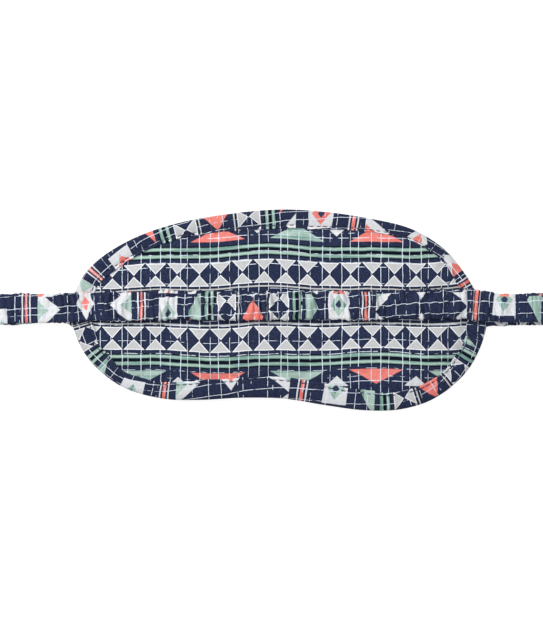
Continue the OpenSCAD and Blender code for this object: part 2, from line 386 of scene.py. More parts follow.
def print_group():
    g = bpy.data.node_groups.new("cloth_print", "ShaderNodeTree")
    g.interface.new_socket("U", in_out="INPUT", socket_type="NodeSocketFloat")
    g.interface.new_socket("V", in_out="INPUT", socket_type="NodeSocketFloat")
    g.interface.new_socket("Color", in_out="OUTPUT", socket_type="NodeSocketColor")
    gin = g.nodes.new("NodeGroupInput")
    gout = g.nodes.new("NodeGroupOutput")
    u0, v0 = S(g, gin.outputs["U"]), S(g, gin.outputs["V"])
    flat = combined(g, u0 * 0.01, v0 * 0.01)

    # ink edges wander a little
    wob_u = noise(g, flat, 11.0, 3.0) - 0.5
    wob_v = noise(g, combined(g, u0 * 0.01 + 3.7, v0 * 0.01 + 1.9), 11.0, 3.0) - 0.5
    u = u0 + wob_u * 0.9
    v = v0 + wob_v * 0.9
    m = ((v + 100).mod(200) - 100).abs()

    def cell(pitch, shift=0.0):
        """Distance from the middle of each step of a row, and its number."""
        q = u / pitch + shift
        return (q.fract() - 0.5) * pitch, q.floor()

    def tent(x, half, y, tall):
        """Below 1 inside a lozenge, or a triangle where y is cut off."""
        return x.abs() / half + y / tall

    # dye taken up unevenly, thread by thread
    weft = noise(g, combined(g, u0 * 0.005, v0 * 0.028), 100.0, 2.0, 0.6)
    warp = noise(g, combined(g, u0 * 0.028 + 6.0, v0 * 0.005 + 2.0), 100.0, 2.0, 0.6)
    yarn = (weft + warp) * 0.5
    col = mixed(g, (yarn * 0.7 + noise(g, flat, 150.0, 3.0, 0.7) * 0.3).step(0.38, 0.64), NAVY, NAVY_DEEP)

    # fine check of brushed lines, which thin out here and there, with the
    # ground a little darker beside them
    dry = noise(g, combined(g, u0 * 0.010, v0 * 0.030 + 4.0), 7.0, 3.0)
    dry2 = noise(g, combined(g, u0 * 0.030 + 9.0, v0 * 0.010), 7.0, 3.0)
    cu = u0 + wob_u * 1.1
    cv = v0 + wob_v * 1.1
    rand = g.nodes.new("ShaderNodeTexWhiteNoise")            # uneven spacing
    rand.noise_dimensions = "1D"
    g.links.new((cu / 9.6).floor().socket, rand.inputs["W"])
    rgb = g.nodes.new("ShaderNodeSeparateColor")
    g.links.new(rand.outputs["Color"], rgb.inputs[0])
    a1 = ((cu / 9.6).fract() - S(g, rgb.outputs[0]) * 0.22 - 0.17).abs() * 9.6
    a2 = ((cu / 9.6).fract() - S(g, rgb.outputs[1]) * 0.30 - 0.58).abs() * 9.6
    b1 = ((cv / 14.0).fract() - 0.36).abs() * 14.0
    b2 = ((cv / 14.0).fract() - 0.80).abs() * 14.0
    b3 = ((cv / 14.0).fract() - 0.53).abs() * 14.0
    side = (a1.below(0.65, 0.30) * dry.step(0.34, 0.42)).max(a2.below(0.60, 0.30) * dry.step(0.40, 0.48))
    side = side.max(b1.below(0.65, 0.30) * dry2.step(0.42, 0.50))
    side = side.max(b2.below(0.60, 0.30) * dry2.step(0.47, 0.55))
    col = mixed(g, side * 0.55, col, INK)

    # the other inks
    shade = noise(g, combined(g, u0 * 0.006, v0 * 0.08), 6.0, 2.0)
    mint = mixed(g, shade.step(0.46, 0.70), MINT, MINT_DEEP)
    warm = noise(g, combined(g, u0 * 0.02 + 7.0, v0 * 0.02), 9.0, 3.0)
    coral = mixed(g, warm.step(0.40, 0.70), CORAL, CORAL_DEEP)

    # pairs of stripes, each darker along its edges
    s1 = (m - 24.4).abs()
    s2 = (m - 27.7).abs()
    s3 = s1.min(s2)
    col = mixed(g, m.between(22.9, 29.2, 0.12), col, INK)
    col = mixed(g, s3.below(0.84, 0.10), col, MINT_DEEP)
    col = mixed(g, s3.below(0.48, 0.10), col, mint)

    # a thin stripe on each side of the fold line of the repeat
    col = mixed(g, (m - 8.5).abs().below(0.72, 0.12), col, INK)
    col = mixed(g, (m - 8.5).abs().below(0.36, 0.10), col, PALE)

    # lozenges on the fold line of the repeat
    x, n = cell(27.0)
    col = mixed(g, tent(x, 8.6, m, 6.2).below(1.0, 0.02), col, coral)
    x, n = cell(27.0, 0.5)
    t = tent(x, 4.4, m, 4.6)
    col = mixed(g, t.below(1.0, 0.03), col, GREY)
    col = mixed(g, t.below(0.42, 0.03), col, NAVY)

    # wide single triangles, mint or coral, with grey ones between
    x, n = cell(38.0, 0.22)
    two = mixed(g, (n / 2).fract().above(0.25, 0.01), mint, coral)
    col = mixed(g, tent(x, 13.0, m - 31.2, 7.4).below(1.0, 0.02) * m.above(31.2), col, two)
    x, n = cell(38.0, 0.72)
    col = mixed(g, tent(x, 5.6, (m * -1) + 38.8, 5.0).below(1.0, 0.02) * m.below(38.8), col, GREY)

    # blocks with a lozenge in each
    x, n = cell(25.0, 0.1)
    other = (n / 2).fract().above(0.25, 0.01)
    rowy = (m - 51.0).abs()
    block = x.abs().below(7.8) * rowy.below(5.8)
    col = mixed(g, block, col, GREY)
    t = tent(x, 5.8, rowy, 4.6)
    col = mixed(g, t.below(1.0, 0.03), col, mixed(g, other, mint, coral))
    col = mixed(g, t.below(0.40, 0.03), col, NAVY)

    # three thin stripes
    col = mixed(g, (m - 67.0).abs().below(0.8), col, coral)
    col = mixed(g, ((m - 67.0).abs() - 2.0).abs().below(0.35), col, GREY)

    # tall triangles, each with a smaller one inside
    x, n = cell(20.0, 0.3)
    t = tent(x, 9.6, m - 73.0, 12.0)
    col = mixed(g, t.below(1.0, 0.02) * m.above(73.0), col, GREY)
    two = mixed(g, (n / 2).fract().above(0.25, 0.01), mint, coral)
    col = mixed(g, tent(x, 4.8, m - 73.0, 6.0).below(1.0, 0.02) * m.above(73.0), col, two)

    # lozenges at the other fold line
    x, n = cell(22.0, 0.4)
    t = tent(x, 8.0, (m * -1) + 100.0, 5.6)
    col = mixed(g, t.below(1.0, 0.03), col, GREY)
    col = mixed(g, t.below(0.45, 0.03), col, coral)

    # the pale lines of the check, over all but the chain, ragged as a dry
    # brush leaves them
    bristle = noise(g, combined(g, u0 * 0.01 + 1.3, v0 * 0.01 + 6.1), 210.0, 2.0, 0.6)
    rag = (bristle - 0.5) * 0.30
    lines = (a1 - rag).below(0.16, 0.07) * dry.step(0.32, 0.44)
    lines = lines.max((a2 - rag).below(0.12, 0.07) * dry.step(0.38, 0.50))
    lines = lines.max((b1 - rag).below(0.16, 0.07) * dry2.step(0.43, 0.51))
    lines = lines.max((b2 - rag).below(0.12, 0.07) * dry2.step(0.48, 0.56))
    lines = lines.max((b3 - rag).below(0.12, 0.07) * dry2.inv().step(0.51, 0.59))
    lines = lines * (bristle.step(0.30, 0.46) * 0.35 + 0.65)
    col = mixed(g, lines * 0.96, col, LINE)

    # chain of lozenges between two rows of triangles, tip to tip
    y = ((m - 15.6) / 5.6).abs()
    x, n = cell(10.4)
    chain = (x.abs() / 5.2 * -1 + 1) + y
    light = chain.above(1.05, 0.02) * y.below(1.0, 0.015)
    rim = chain.below(1.14, 0.02).max(y.above(0.93, 0.015)) * light
    col = mixed(g, light, col, PALE)
    col = mixed(g, rim, col, WHITE)

    # a little unevenness in all the inks
    grain = noise(g, combined(g, u0 * 0.01 + 5.0, v0 * 0.01 + 2.0), 60.0, 3.0, 0.6)
    hsv = g.nodes.new("ShaderNodeHueSaturation")
    g.links.new(col, hsv.inputs["Color"])
    g.links.new(((grain * 0.24 + 0.88) * (yarn * 0.70 + 0.65)).socket, hsv.inputs["Value"])
    g.links.new(hsv.outputs[0], gout.inputs["Color"])
    return g


PRINT = print_group()


def principled(name):
    mat = bpy.data.materials.new(name)
    mat.use_nodes = True
    t = mat.node_tree
    return mat, t, t.nodes["Principled BSDF"]


def cloth_material(name, turned, bump=0.35, fold=None):
    """Printed cotton. On its UV layer 'cloth' 1.0 is 100 mm of cloth. turned lays the design across the piece. fold is
    a place and slope of a line where the cloth is folded hard; a painted highlight along it makes the cloth there
    lighter than the rest of the piece, which is darkened a little overall."""
    mat, t, b = principled(name)
    uvn = t.nodes.new("ShaderNodeUVMap")
    uvn.uv_map = "cloth"
    sep = t.nodes.new("ShaderNodeSeparateXYZ")
    t.links.new(uvn.outputs[0], sep.inputs[0])
    a, c = S(t, sep.outputs[0]) * 100, S(t, sep.outputs[1]) * 100
    grp = t.nodes.new("ShaderNodeGroup")
    grp.node_tree = PRINT
    u, v = (c, a) if turned else (a, c)
    t.links.new(u.socket, grp.inputs["U"])
    t.links.new(v.socket, grp.inputs["V"])

    # plain weave: threads over and under, with slubs
    slub = noise(t, combined(t, a * 0.02, c * 0.3), 8.0, 2.0)
    slub2 = noise(t, combined(t, a * 0.3, c * 0.02), 8.0, 2.0)
    warp = (a * (TAU / 0.62)).sin() * (c * (TAU / 1.24)).sin()
    weft = (c * (TAU / 0.62)).sin() * (a * (TAU / 1.24)).sin()
    height = warp * 0.25 + weft * 0.25 + slub * 0.5 + slub2 * 0.5
    bn = t.nodes.new("ShaderNodeBump")
    bn.inputs["Strength"].default_value = bump
    bn.inputs["Distance"].default_value = 0.00025
    t.links.new(height.socket, bn.inputs["Height"])
    t.links.new(bn.outputs[0], b.inputs["Normal"])
    # thread tops catch a little more light than the gaps
    shade = t.nodes.new("ShaderNodeHueSaturation")
    t.links.new(grp.outputs[0], shade.inputs["Color"])
    value = height * 0.10 + 0.95
    if fold:
        # painted highlight along the folded edge: lighter there, and a little darker everywhere else on the piece
        near = (c - a * fold[1] - fold[0]).abs().step(0.9, 1.9).inv()
        value = value * (near * (slub * 0.10 + 0.15) + 0.89)
    t.links.new(value.socket, shade.inputs["Value"])
    t.links.new(shade.outputs[0], b.inputs["Base Color"])
    rough = slub * 0.12 + 0.80
    t.links.new(rough.socket, b.inputs["Roughness"])
    b.inputs["Specular IOR Level"].default_value = 0.08
    b.inputs["Sheen Weight"].default_value = 0.025
    b.inputs["Sheen Roughness"].default_value = 0.45
    return mat


def thread_material(name, dark, light):
    """Twisted sewing thread. Its UV layer 'cloth' runs along and round it."""
    mat, t, b = principled(name)
    uvn = t.nodes.new("ShaderNodeUVMap")
    uvn.uv_map = "cloth"
    sep = t.nodes.new("ShaderNodeSeparateXYZ")
    t.links.new(uvn.outputs[0], sep.inputs[0])
    a, c = S(t, sep.outputs[0]) * 100, S(t, sep.outputs[1])
    ply = ((a / 0.55 + c * 2) * TAU).sin() * 0.5 + 0.5
    col = mixed(t, ply, dark, light)
    t.links.new(col, b.inputs["Base Color"])
    bn = t.nodes.new("ShaderNodeBump")
    bn.inputs["Strength"].default_value = 0.5
    bn.inputs["Distance"].default_value = 0.0001
    t.links.new(ply.socket, bn.inputs["Height"])
    t.links.new(bn.outputs[0], b.inputs["Normal"])
    rough = ply * -0.1 + 0.6
    t.links.new(rough.socket, b.inputs["Roughness"])
    b.inputs["Specular IOR Level"].default_value = 0.3
    b.inputs["Sheen Weight"].default_value = 0.1
    return mat


def soft_material(name, base, other, scale, bump, ribs=None):
    """Wadding, lining or elastic: mottled fibre, with ribs along it if asked."""
    mat, t, b = principled(name)
    tc = t.nodes.new("ShaderNodeTexCoord")
    n1 = noise(t, tc.outputs["Object"], scale, 4.0, 0.6)
    n2 = noise(t, tc.outputs["Object"], scale * 6, 3.0, 0.6)
    height = n1 * 0.6 + n2 * 0.4
    if ribs:
        sep = t.nodes.new("ShaderNodeSeparateXYZ")
        t.links.new(tc.outputs["Object"], sep.inputs[0])
        rib = (S(t, sep.outputs[1]) * (TAU / (ribs * MM))).sin() * 0.5 + 0.5
        knit = (S(t, sep.outputs[0]) * (TAU / (0.9 * MM))).sin() * 0.5 + 0.5
        height = height * 0.4 + rib * 0.7 + knit * rib * 0.3
    col = mixed(t, height.step(0.2, 0.9), base, other)
    t.links.new(col, b.inputs["Base Color"])
    bn = t.nodes.new("ShaderNodeBump")
    bn.inputs["Strength"].default_value = bump
    bn.inputs["Distance"].default_value = 0.0004
    t.links.new(height.socket, bn.inputs["Height"])
    t.links.new(bn.outputs[0], b.inputs["Normal"])
    rough = n1 * 0.1 + 0.85
    t.links.new(rough.socket, b.inputs["Roughness"])
    b.inputs["Specular IOR Level"].default_value = 0.15
    b.inputs["Sheen Weight"].default_value = 0.2
    return mat


PANEL_MAT = cloth_material("panel_cloth", turned=False)
STRAP_MAT = cloth_material("strap_cloth", turned=True)
THREAD_MAT = thread_material("navy_thread", srgb(24, 26, 44), srgb(52, 56, 86))
WADDING_MAT = soft_material("wadding", srgb(236, 234, 228), srgb(214, 211, 203), 220, 0.8)
LINING_MAT = soft_material("black_lining", srgb(20, 20, 23), srgb(34, 34, 38), 900, 0.4)
ELASTIC_MAT = soft_material("white_elastic", srgb(206, 205, 200), srgb(238, 237, 232), 700, 0.6, ribs=1.3)


def dress(ob, mat):
    ob.data.materials.clear()
    ob.data.materials.append(mat)
    return ob


# ---------------------------------------------------------------- panels ----
CENTRE = np.array([MASK_X + 1.0, 1.0])
RIM_BACK = 3.9       # top of the back cloth under the binding
CROWN = 6.6
CLOTH = 0.35

# Rings of a panel: under the binding, then true insets, then towards the middle.
rim_d = [3.0, 5.0, 7.0, 8.4, 9.0, 9.35, 9.7]
near_a = np.array([0.4, 0.9, 1.5, 2.2, 3.0, 3.9, 4.9, 6.0, 7.2, 8.5])
inner_curve = smooth_closed(inset(BIND_W + 0.7), STEP, 2.5)
it = np.roll(inner_curve, -1, axis=0) - np.roll(inner_curve, 1, axis=0)
it /= np.linalg.norm(it, axis=1)[:, None]
inner_in = np.stack([-it[:, 1], it[:, 0]], 1)
last_curve = smooth_closed(inner_curve + near_a[-1] * inner_in, STEP, 4.0)
far_r = 1 - (np.linspace(0, 1, 34)[1:]) * 0.985

ring_xy, ring_a = [], []
for d in rim_d:
    ring_xy.append(inset(d))
    ring_a.append(np.full(NU, (d - BIND_W - 0.7)))
for a in near_a:
    f = (a / near_a[-1]) ** 2
    ring_xy.append(inner_curve + a * inner_in
                   + f * (last_curve - inner_curve - near_a[-1] * inner_in))
    ring_a.append(np.full(NU, a))
for r in far_r:
    ring_xy.append(CENTRE + r * (last_curve - CENTRE))
    ring_a.append(np.full(NU, near_a[-1] + (1 - r) * 32.0))
RXY = np.array(ring_xy)                  # (rings, NU, 2), edge first
RA = np.array(ring_a)

swell = ripples(11, 34)
swell2 = ripples(12, 15)
puck = loop_waves(13, 10.5, ROUND, n=9, spread=0.35)
puck2 = loop_waves(14, 5.2, ROUND, n=9, spread=0.3)
puck_fade = loop_waves(15, 46, ROUND)


def pucker_set(seed, count):
    q = np.random.RandomState(seed)
    at_u = (np.arange(count) + 0.7 * q.rand(count)) / count * ROUND
    return np.column_stack([at_u, 0.16 + 0.26 * q.rand(count), 1.3 + 1.3 * q.rand(count),
                            3.0 + 7.0 * q.rand(count) ** 2, 0.45 * q.randn(count),
                            np.where(q.rand(count) < 0.7, -1, 0.8)])


PUCKERS = pucker_set(17, 52)


def puckered(a, u):
    """Short folds that start at the binding and die out towards the middle."""
    a = np.clip(a, 0, None)
    z = np.zeros(np.broadcast(a, u).shape)
    for u0, high, wide, long, lean, sign in PUCKERS:
        off = np.mod(u - u0 - lean * a + ROUND / 2, ROUND) - ROUND / 2
        w = wide * (1 + 0.10 * a)
        body = np.exp(-(off / w) ** 2) - 0.45 * np.exp(-((np.abs(off) - 2.0 * w) / w) ** 2)
        z = z + sign * high * body * np.exp(-(a / long) ** 1.5) * (1 - np.exp(-a / 0.7))
    return z


def back_height(xy, a, u):
    """Top of the cloth on the wearer's side."""
    x, y = xy[..., 0], xy[..., 1]
    f = 1 - np.exp(-np.clip(a, 0, None) / 5.6)
    z = RIM_BACK + 0.12 + (CROWN - RIM_BACK - 0.12) * f
    z = np.where(a < 0, RIM_BACK + 0.12 * ease(-0.8, 0, a), z)
    free = f * (1 - 0.75 * pressed(x, y))
    z = z + free * (0.26 * swell(x, y) + 0.09 * swell2(x, y))
    gate = np.clip(0.75 + 0.35 * puck_fade(u), 0.2, 1.4)
    near = np.where(a > 0, (1 - np.exp(-np.clip(a, 0, None) / 1.2))
                    * np.exp(-np.clip(a, 0, None) / 5.5), 0)
    z = z + near * gate * (0.26 * puck(u) + 0.10 * puck2(u)) * (1 - 0.6 * pressed(x, y))
    z = z + puckered(a, u) * (1 - 0.6 * pressed(x, y)) * (a > 0)
    return z - 0.18 * pressed(x, y) * f


def front_height(xy, a, u):
    """Underside of the cloth of the outer face, flat where it rests."""
    x, y = xy[..., 0], xy[..., 1]
    f = np.exp(-np.clip(a, 0, None) / 3.2)
    z = 0.82 * f
    near = np.where(a > 0, np.exp(-np.clip(a, 0, None) / 3.5)
                    * (1 - np.exp(-np.clip(a, 0, None) / 1.2)), 0)
    z = z + near * 0.14 * (puck(u + 31) + 0.4 * puck2(u + 12))
    z = np.where(a < 0, 0.82, z)
    return np.clip(np.where(a > 12, 0, z), 0, None)


UU = np.broadcast_to(U, RA.shape)
BACK_Z = back_height(RXY, RA, UU)
FRONT_Z = front_height(RXY, RA, UU)


def lie(x, y):
    """How the print bends with the soft cloth, in mm across the stripes."""
    return (2.6 * np.exp(-((x + 97) / 30) ** 2) * ease(-6, 16, y)
            - 0.9 * np.sin(TAU * (x + 26) / 104) * ease(-30, 24, y)
            + 0.45 * np.sin(TAU * (x - 10) / 52)
            + 0.8 * np.sin(TAU * (x + 60) / 150) * ease(10, -20, y))


def shell(name, outer_z, inner_z, first_ring, mat):
    """A closed thin layer: outer face, then inner face, on the panel's rings."""
    xy = RXY[first_ring:]
    zo, zi = outer_z[first_ring:], inner_z[first_ring:]
    k = len(xy)
    po = np.dstack([xy, zo[..., None]])[::-1]          # middle to edge
    pi_ = np.dstack([xy, zi[..., None]])               # edge to middle

    def cloth(q):
        x, y = q[..., 0], q[..., 1]
        w = np.stack([x - MASK_X + 1.7, y - 2.0 + lie(x, y)], -1) / 100
        return np.concatenate([w, w[:, :1]], 1)

    def bake(q, chart):
        x, y = q[..., 0], q[..., 1]
        b = np.stack([0.5 + (x - MASK_X) / 206, 0.25 + 0.5 * chart + y / 206], -1)
        return np.concatenate([b, b[:, :1]], 1)

    b = Builder(["cloth", "OFBake"])
    top, low = bake(po, 0), bake(pi_, 1)
    start = b.grid(po, {"cloth": cloth(po), "OFBake": top}, wrap_cols=True)
    start2 = b.grid(pi_, {"cloth": cloth(pi_), "OFBake": low}, wrap_cols=True)
    edge_o = start + (k - 1) * NU + np.arange(NU)
    edge_i = start2 + np.arange(NU)
    wall = low[0, :NU] + (low[0, :NU] - [0.5, 0.75]) * 0.008
    b.strip(edge_o, edge_i,
            {"cloth": cloth(po)[-1, :NU], "OFBake": wall},
            {"cloth": cloth(pi_)[0, :NU], "OFBake": low[0, :NU]})
    b.cap(start + np.arange(NU - 1, -1, -1),
          {"cloth": cloth(po)[0, :NU][::-1], "OFBake": top[0, :NU][::-1]})
    b.cap(start2 + (k - 1) * NU + np.arange(NU),
          {"cloth": cloth(pi_)[-1, :NU], "OFBake": low[-1, :NU]})
    ob = b.build(name)
    return dress(ob, mat)


def ring_area(ring):
    x, y = ring[:, 0], ring[:, 1]
    return abs(np.dot(x, np.roll(y, -1)) - np.dot(y, np.roll(x, -1))) / 2


back_cloth = shell("back_cloth", BACK_Z, BACK_Z - CLOTH, 0, PANEL_MAT)
front_cloth = shell("front_cloth", FRONT_Z, FRONT_Z + CLOTH, 0, PANEL_MAT)
lining = shell("lining", FRONT_Z + CLOTH + 0.1, FRONT_Z + CLOTH + 0.35, 4, LINING_MAT)
pad = shell("wadding_pad", BACK_Z - CLOTH - 0.12, FRONT_Z + CLOTH + 0.45, 5, WADDING_MAT)
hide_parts("back_panel")
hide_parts("front_panel")
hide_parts("blackout_lining")
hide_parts("padding")


# --------------------------------------------------------------- binding ----
STITCH_D = BIND_W - 1.4
STITCH_N = int(round(ROUND * 0.91 / 3.0))
rim_puff = loop_waves(21, 24, ROUND)
rim_edge = loop_waves(22, 28, ROUND)
rim_edge2 = loop_waves(23, 7, ROUND)
rim_bias = loop_waves(24, 6.5, ROUND, n=9, spread=0.35)
rim_bias2 = loop_waves(25, 60, ROUND)
turn = np.unwrap(np.arctan2(tangent[:, 1], tangent[:, 0]))
bend = np.gradient(turn) / STEP
bend = smooth_closed(np.abs(bend)[:, None], STEP, 6.0)[:, 0]
BEND = np.clip((bend - 0.006) / 0.03, 0, 1)


def rim_bend(u):
    return np.interp(np.mod(u, ROUND), np.append(U, ROUND), np.append(BEND, BEND[0]))


def rim_top(d, u, xy):
    """Height of the binding's upper face at d from the edge."""
    d = np.asarray(d, float)
    q = np.clip(1 - d / 3.4, 0, 1)
    z = 2.4 + 2.15 * (1 - q ** 2.3) ** (1 / 2.3)
    hold = 1 - 0.9 * pressed(xy[..., 0], xy[..., 1])
    bulge = np.clip(np.sin(np.pi * np.clip((d - 1.2) / 6.4, 0, 1)), 0, None)
    z = z + bulge * (0.26 + 0.10 * rim_puff(u)) * hold
    # slack of the strip between stitches, and drag lines across it
    phase = TAU * u / ROUND * STITCH_N
    z = z + 0.07 * np.cos(phase) * np.exp(-((d - STITCH_D) / 1.1) ** 2) * hold
    gate = np.clip(0.45 + 0.45 * rim_bias2(u), 0, 1.2) + 1.1 * rim_bend(u)
    z = z + 0.11 * rim_bias(u + 0.7 * d) * gate * bulge * hold
    inner = ease(4.5, 8.0, d)
    z = z + 0.10 * rim_bias(1.7 * u) * inner * (0.4 + rim_bend(u)) * hold
    # pulled down at the stitches, and standing up a little at its folded edge
    z = z - 0.28 * np.exp(-((d - STITCH_D) / 0.42) ** 2)
    z = z + 0.26 * (1 + 0.35 * rim_puff(3 * u)) * ease(STITCH_D + 0.2, STITCH_D + 0.9, d) * hold
    z = z - 0.42 * ease(BIND_W - 0.30, BIND_W + 0.12, d) ** 1.5
    return z


def rim_low(d, u, xy):
    """Height of the binding's lower face, which lies near the table."""
    d = np.asarray(d, float)
    q = np.clip(1 - d / 3.4, 0, 1)
    z = 2.4 - 2.08 * (1 - q ** 2.3) ** (1 / 2.3)
    bulge = np.clip(np.sin(np.pi * np.clip((d - 1.2) / 6.4, 0, 1)), 0, None)
    z = z - bulge * 0.10 * (1 + 0.6 * rim_puff(u + 40))
    phase = TAU * u / ROUND * STITCH_N
    z = z - 0.05 * np.cos(phase) * np.exp(-((d - STITCH_D) / 1.1) ** 2)
    z = z + 0.20 * np.exp(-((d - STITCH_D) / 0.42) ** 2)
    z = z + 0.42 * ease(BIND_W - 0.45, BIND_W + 0.12, d) ** 1.5
    return np.clip(z, 0.06, None)


def rim_xy(d):
    wob = 0.22 * rim_edge(U) + 0.07 * rim_edge2(U)
    share = ease(5.5, 9.0, d)
    return inset(d + wob * share)


top_d = np.array([9.12, 9.08, 8.95, 8.75, 8.5, 8.2, 7.95, 7.75, 7.6, 7.45, 7.2,
                  6.8, 6.3, 5.7, 5.0, 4.3, 3.6, 3.0, 2.5, 2.0, 1.55, 1.15, 0.8,
                  0.5, 0.27, 0.1, 0.02])
low_d = top_d[::-1]
prof = []
for d in top_d:
    xy = rim_xy(np.full(NU, d))
    prof.append(np.column_stack([xy, rim_top(np.full(NU, d), U, xy)]))
for d in low_d:
    xy = rim_xy(np.full(NU, d))
    prof.append(np.column_stack([xy, rim_low(np.full(NU, d), U, xy)]))
outer_rows = len(prof)
for d, side in ((8.9, -1), (7.6, -1), (6.0, -1), (4.2, -1), (2.6, -1), (1.5, -1), (0.8, 0),
                (1.5, 1), (2.6, 1), (4.2, 1), (6.0, 1), (7.6, 1), (8.9, 1)):
    xy = rim_xy(np.full(NU, d))
    hi = np.minimum(rim_top(np.full(NU, d), U, xy) - 0.5, 4.3)
    lo = np.maximum(rim_low(np.full(NU, d), U, xy) + 0.35, 0.45)
    z = {1: hi, -1: lo, 0: (hi + lo) / 2}[side]
    if side == 1:
        z = np.maximum(z, RIM_BACK + 0.03) if d > 3 else z
    if side == -1:
        z = np.minimum(z, 0.80) if d > 3 else z
    prof.append(np.column_stack([xy, z]))
prof = np.array(prof)                               # (rows, NU, 3)
rows = len(prof)
across_len = np.concatenate([[0], np.cumsum([
    np.median(np.linalg.norm(prof[(i + 1) % rows] - prof[i], axis=1)) for i in range(rows)])])
# the strip's cloth is measured from its folded inner edge
seen = np.vstack([np.zeros((1, NU)), np.cumsum(
    np.linalg.norm(np.roll(prof, -1, axis=0) - prof, axis=2), axis=0)])
seen = smooth_closed(seen.T, STEP, 3.0).T
seen = np.hstack([seen, seen[:, :1]])
uu = np.arange(NU + 1) * STEP
cl = np.empty((rows + 1, NU + 1, 2))
cl[..., 0] = (uu / 100)[None, :]
cl[..., 1] = (seen - 5.0) / 100 + 0.09 * cl[..., 0]
# the binding's cloth carries a painted highlight along its folded inner edge
BIND_MAT = cloth_material("binding_cloth", turned=True, fold=(-5.0, 0.09))
# the strip is laid out in eight rows for the finish
LANES = 8
lane_of = np.minimum((np.arange(NU) * LANES) // NU, LANES - 1)
bk = Builder(["cloth", "OFBake"])
faces_r, faces_c = grid_faces(rows, NU, True, True)
lane_f = lane_of[faces_c[:, 0]]
lane_first = np.array([np.where(lane_of == k)[0][0] for k in range(LANES)])
lane_count = np.array([(lane_of == k).sum() for k in range(LANES)])
fu = (faces_c - lane_first[lane_f][:, None]) / lane_count[lane_f][:, None]
fv = across_len[faces_r] / across_len[-1]
bake = np.stack([0.004 + 0.992 * fu, (lane_f[:, None] + 0.03 + 0.94 * fv) / LANES], -1)
bk.verts = [prof.reshape(-1, 3)]
bk.count = rows * NU
bk.faces = ((faces_r % rows) * NU + faces_c % NU).tolist()
bk.uvs = {"cloth": [cl[faces_r, faces_c].reshape(-1, 2)], "OFBake": [bake.reshape(-1, 2)]}
binding = dress(bk.build("binding_strip"), BIND_MAT)
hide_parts("edge_binding")


# -------------------------------------------------------------- stitches ----
def thread_mesh(name, paths, radius, replaced):
    """Short bent threads, one for each list of points, in one piece."""
    sides = 7
    b = Builder(["cloth"])
    for p in paths:
        p = np.asarray(p, float)
        n = len(p)
        t = np.gradient(p, axis=0)
        t /= np.linalg.norm(t, axis=1)[:, None]
        side = np.cross(t, [0, 0, 1.0])
        side /= np.linalg.norm(side, axis=1)[:, None]
        up = np.cross(side, t)
        f = np.linspace(-1, 1, n)
        rad = radius * np.sqrt(np.clip(1 - 0.75 * f ** 4, 0.05, 1))
        ang = np.arange(sides) * TAU / sides
        ring = (p[:, None, :] + rad[:, None, None] *
                (np.cos(ang)[None, :, None] * side[:, None, :] * 1.15
                 + np.sin(ang)[None, :, None] * up[:, None, :] * 0.8))
        s = np.concatenate([[0], np.cumsum(np.linalg.norm(np.diff(p, axis=0), axis=1))])
        uv = np.empty((n, sides + 1, 2))
        uv[..., 0] = (s / 100)[:, None]
        uv[..., 1] = (np.arange(sides + 1) / sides)[None, :]
        start = b.grid(ring, {"cloth": uv}, wrap_cols=True)
        b.cap(start + np.arange(sides - 1, -1, -1), {"cloth": uv[0, :sides][::-1]})
        b.cap(start + (n - 1) * sides + np.arange(sides), {"cloth": uv[-1, :sides]})
    ob = b.build(name)
    dress(ob, THREAD_MAT)
    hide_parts(replaced)
    return ob


def at(curve, u):
    """A point of a closed ring of NU points at u mm from its start."""
    q = np.vstack([curve, curve[:1]])
    return np.stack([np.interp(np.mod(u, ROUND), np.arange(NU + 1) * STEP, q[:, k])
                     for k in range(q.shape[1])], -1)


stitch_xy = rim_xy(np.full(NU, STITCH_D))
stitch_hi = np.column_stack([stitch_xy, rim_top(np.full(NU, STITCH_D), U, stitch_xy)])
stitch_lo = np.column_stack([stitch_xy, rim_low(np.full(NU, STITCH_D), U, stitch_xy)])
pitch = ROUND / STITCH_N
r = np.random.RandomState(31)
upper, lower = [], []
for i in range(STITCH_N):
    u0 = (i + 0.14 + 0.05 * r.randn()) * pitch
    u1 = (i + 0.86 + 0.05 * r.randn()) * pitch
    f = np.linspace(0, 1, 8)
    lean = 0.10 * r.randn()
    arch = np.sin(np.pi * f)
    pts = at(stitch_hi, u0 + (u1 - u0) * f)
    pts[:, 2] += 0.20 * arch ** 0.6 - 0.10
    pts[:, :2] += (at(INWARD, u0 + (u1 - u0) * f) * ((f - 0.5) * lean)[:, None])
    upper.append(pts)
    pts = at(stitch_lo, u0 + pitch * 0.5 + (u1 - u0) * f)
    pts[:, 2] = np.maximum(pts[:, 2] - 0.18 * arch ** 0.6 + 0.12, 0.17)
    lower.append(pts)
topstitch_up = thread_mesh("topstitch_upper", upper, 0.20, "topstitch_back")
topstitch_down = thread_mesh("topstitch_lower", lower, 0.17, "topstitch_front")


def tack_paths(tip, inwards, y0):
    """A zigzag of close stitches across a strap end, above and below."""
    up, down = [], []
    n = 17
    for i in range(n - 1):
        y = [y0 - 5.8 + 11.6 * (i + k) / (n - 1) for k in (0, 1)]
        x = [tip + inwards * (3.4 + 1.9 * ((i + k) % 2)) for k in (0, 1)]
        f = np.linspace(0, 1, 6)
        px = x[0] + (x[1] - x[0]) * f
        py = y[0] + (y[1] - y[0]) * f
        d = np.abs(px - tip)
        xy = np.stack([px, py], 1)
        near = np.array([np.argmin(np.sum((EDGE - q) ** 2, 1)) for q in xy])
        dist = np.linalg.norm(EDGE[near] - xy, axis=1)
        arch = np.sin(np.pi * f)
        zu = rim_top(dist, U[near], xy) + 0.16 * arch ** 0.6 - 0.04
        zl = np.maximum(rim_low(dist, U[near], xy) - 0.12 * arch ** 0.6 + 0.06, 0.16)
        up.append(np.column_stack([xy, zu]))
        down.append(np.column_stack([xy, zl]))
    return up + down


